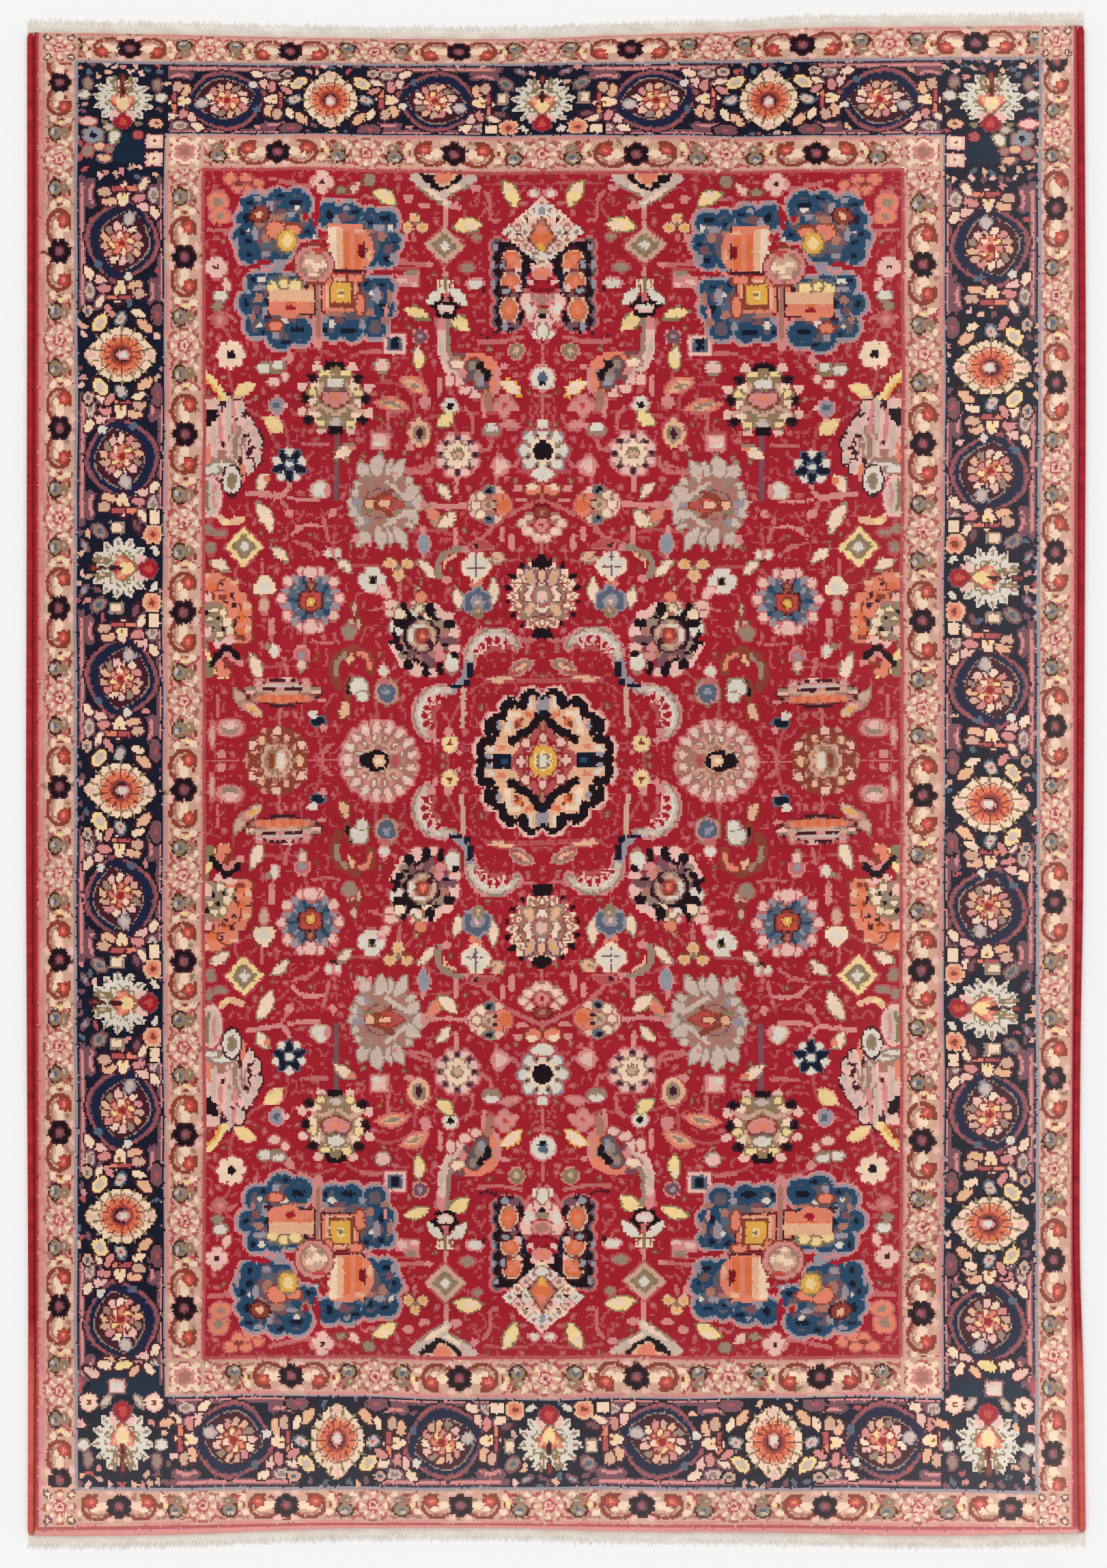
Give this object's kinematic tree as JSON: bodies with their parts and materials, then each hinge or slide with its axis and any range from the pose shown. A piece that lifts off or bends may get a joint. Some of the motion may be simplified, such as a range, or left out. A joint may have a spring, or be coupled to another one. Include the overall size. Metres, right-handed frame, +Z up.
{
  "type": "persian rug",
  "caption": "Flat hand-knotted rug with a central medallion, floral field and banded border, overcast side cords and short fringed ends; lies on a floor.",
  "frame": {"origin": "on the floor, under the middle of the rug's box", "axes": "+Y along the rug's length, +X across its width, +Z up out of the pile"},
  "size_m": [2.006, 2.9125, 0.01],
  "materials": {
    "wool_pile": "clipped wool pile, matt with a soft sheen",
    "red_overcast": "wrapped wool yarn, matt",
    "cream_cotton": "flat-woven cotton and cut warps, matt"
  },
  "bodies": {
    "root": {"rug": "wool_pile", "selvedge_left": "red_overcast", "selvedge_right": "red_overcast", "end_top": "cream_cotton", "end_bottom": "cream_cotton"}
  },
  "joints": []
}
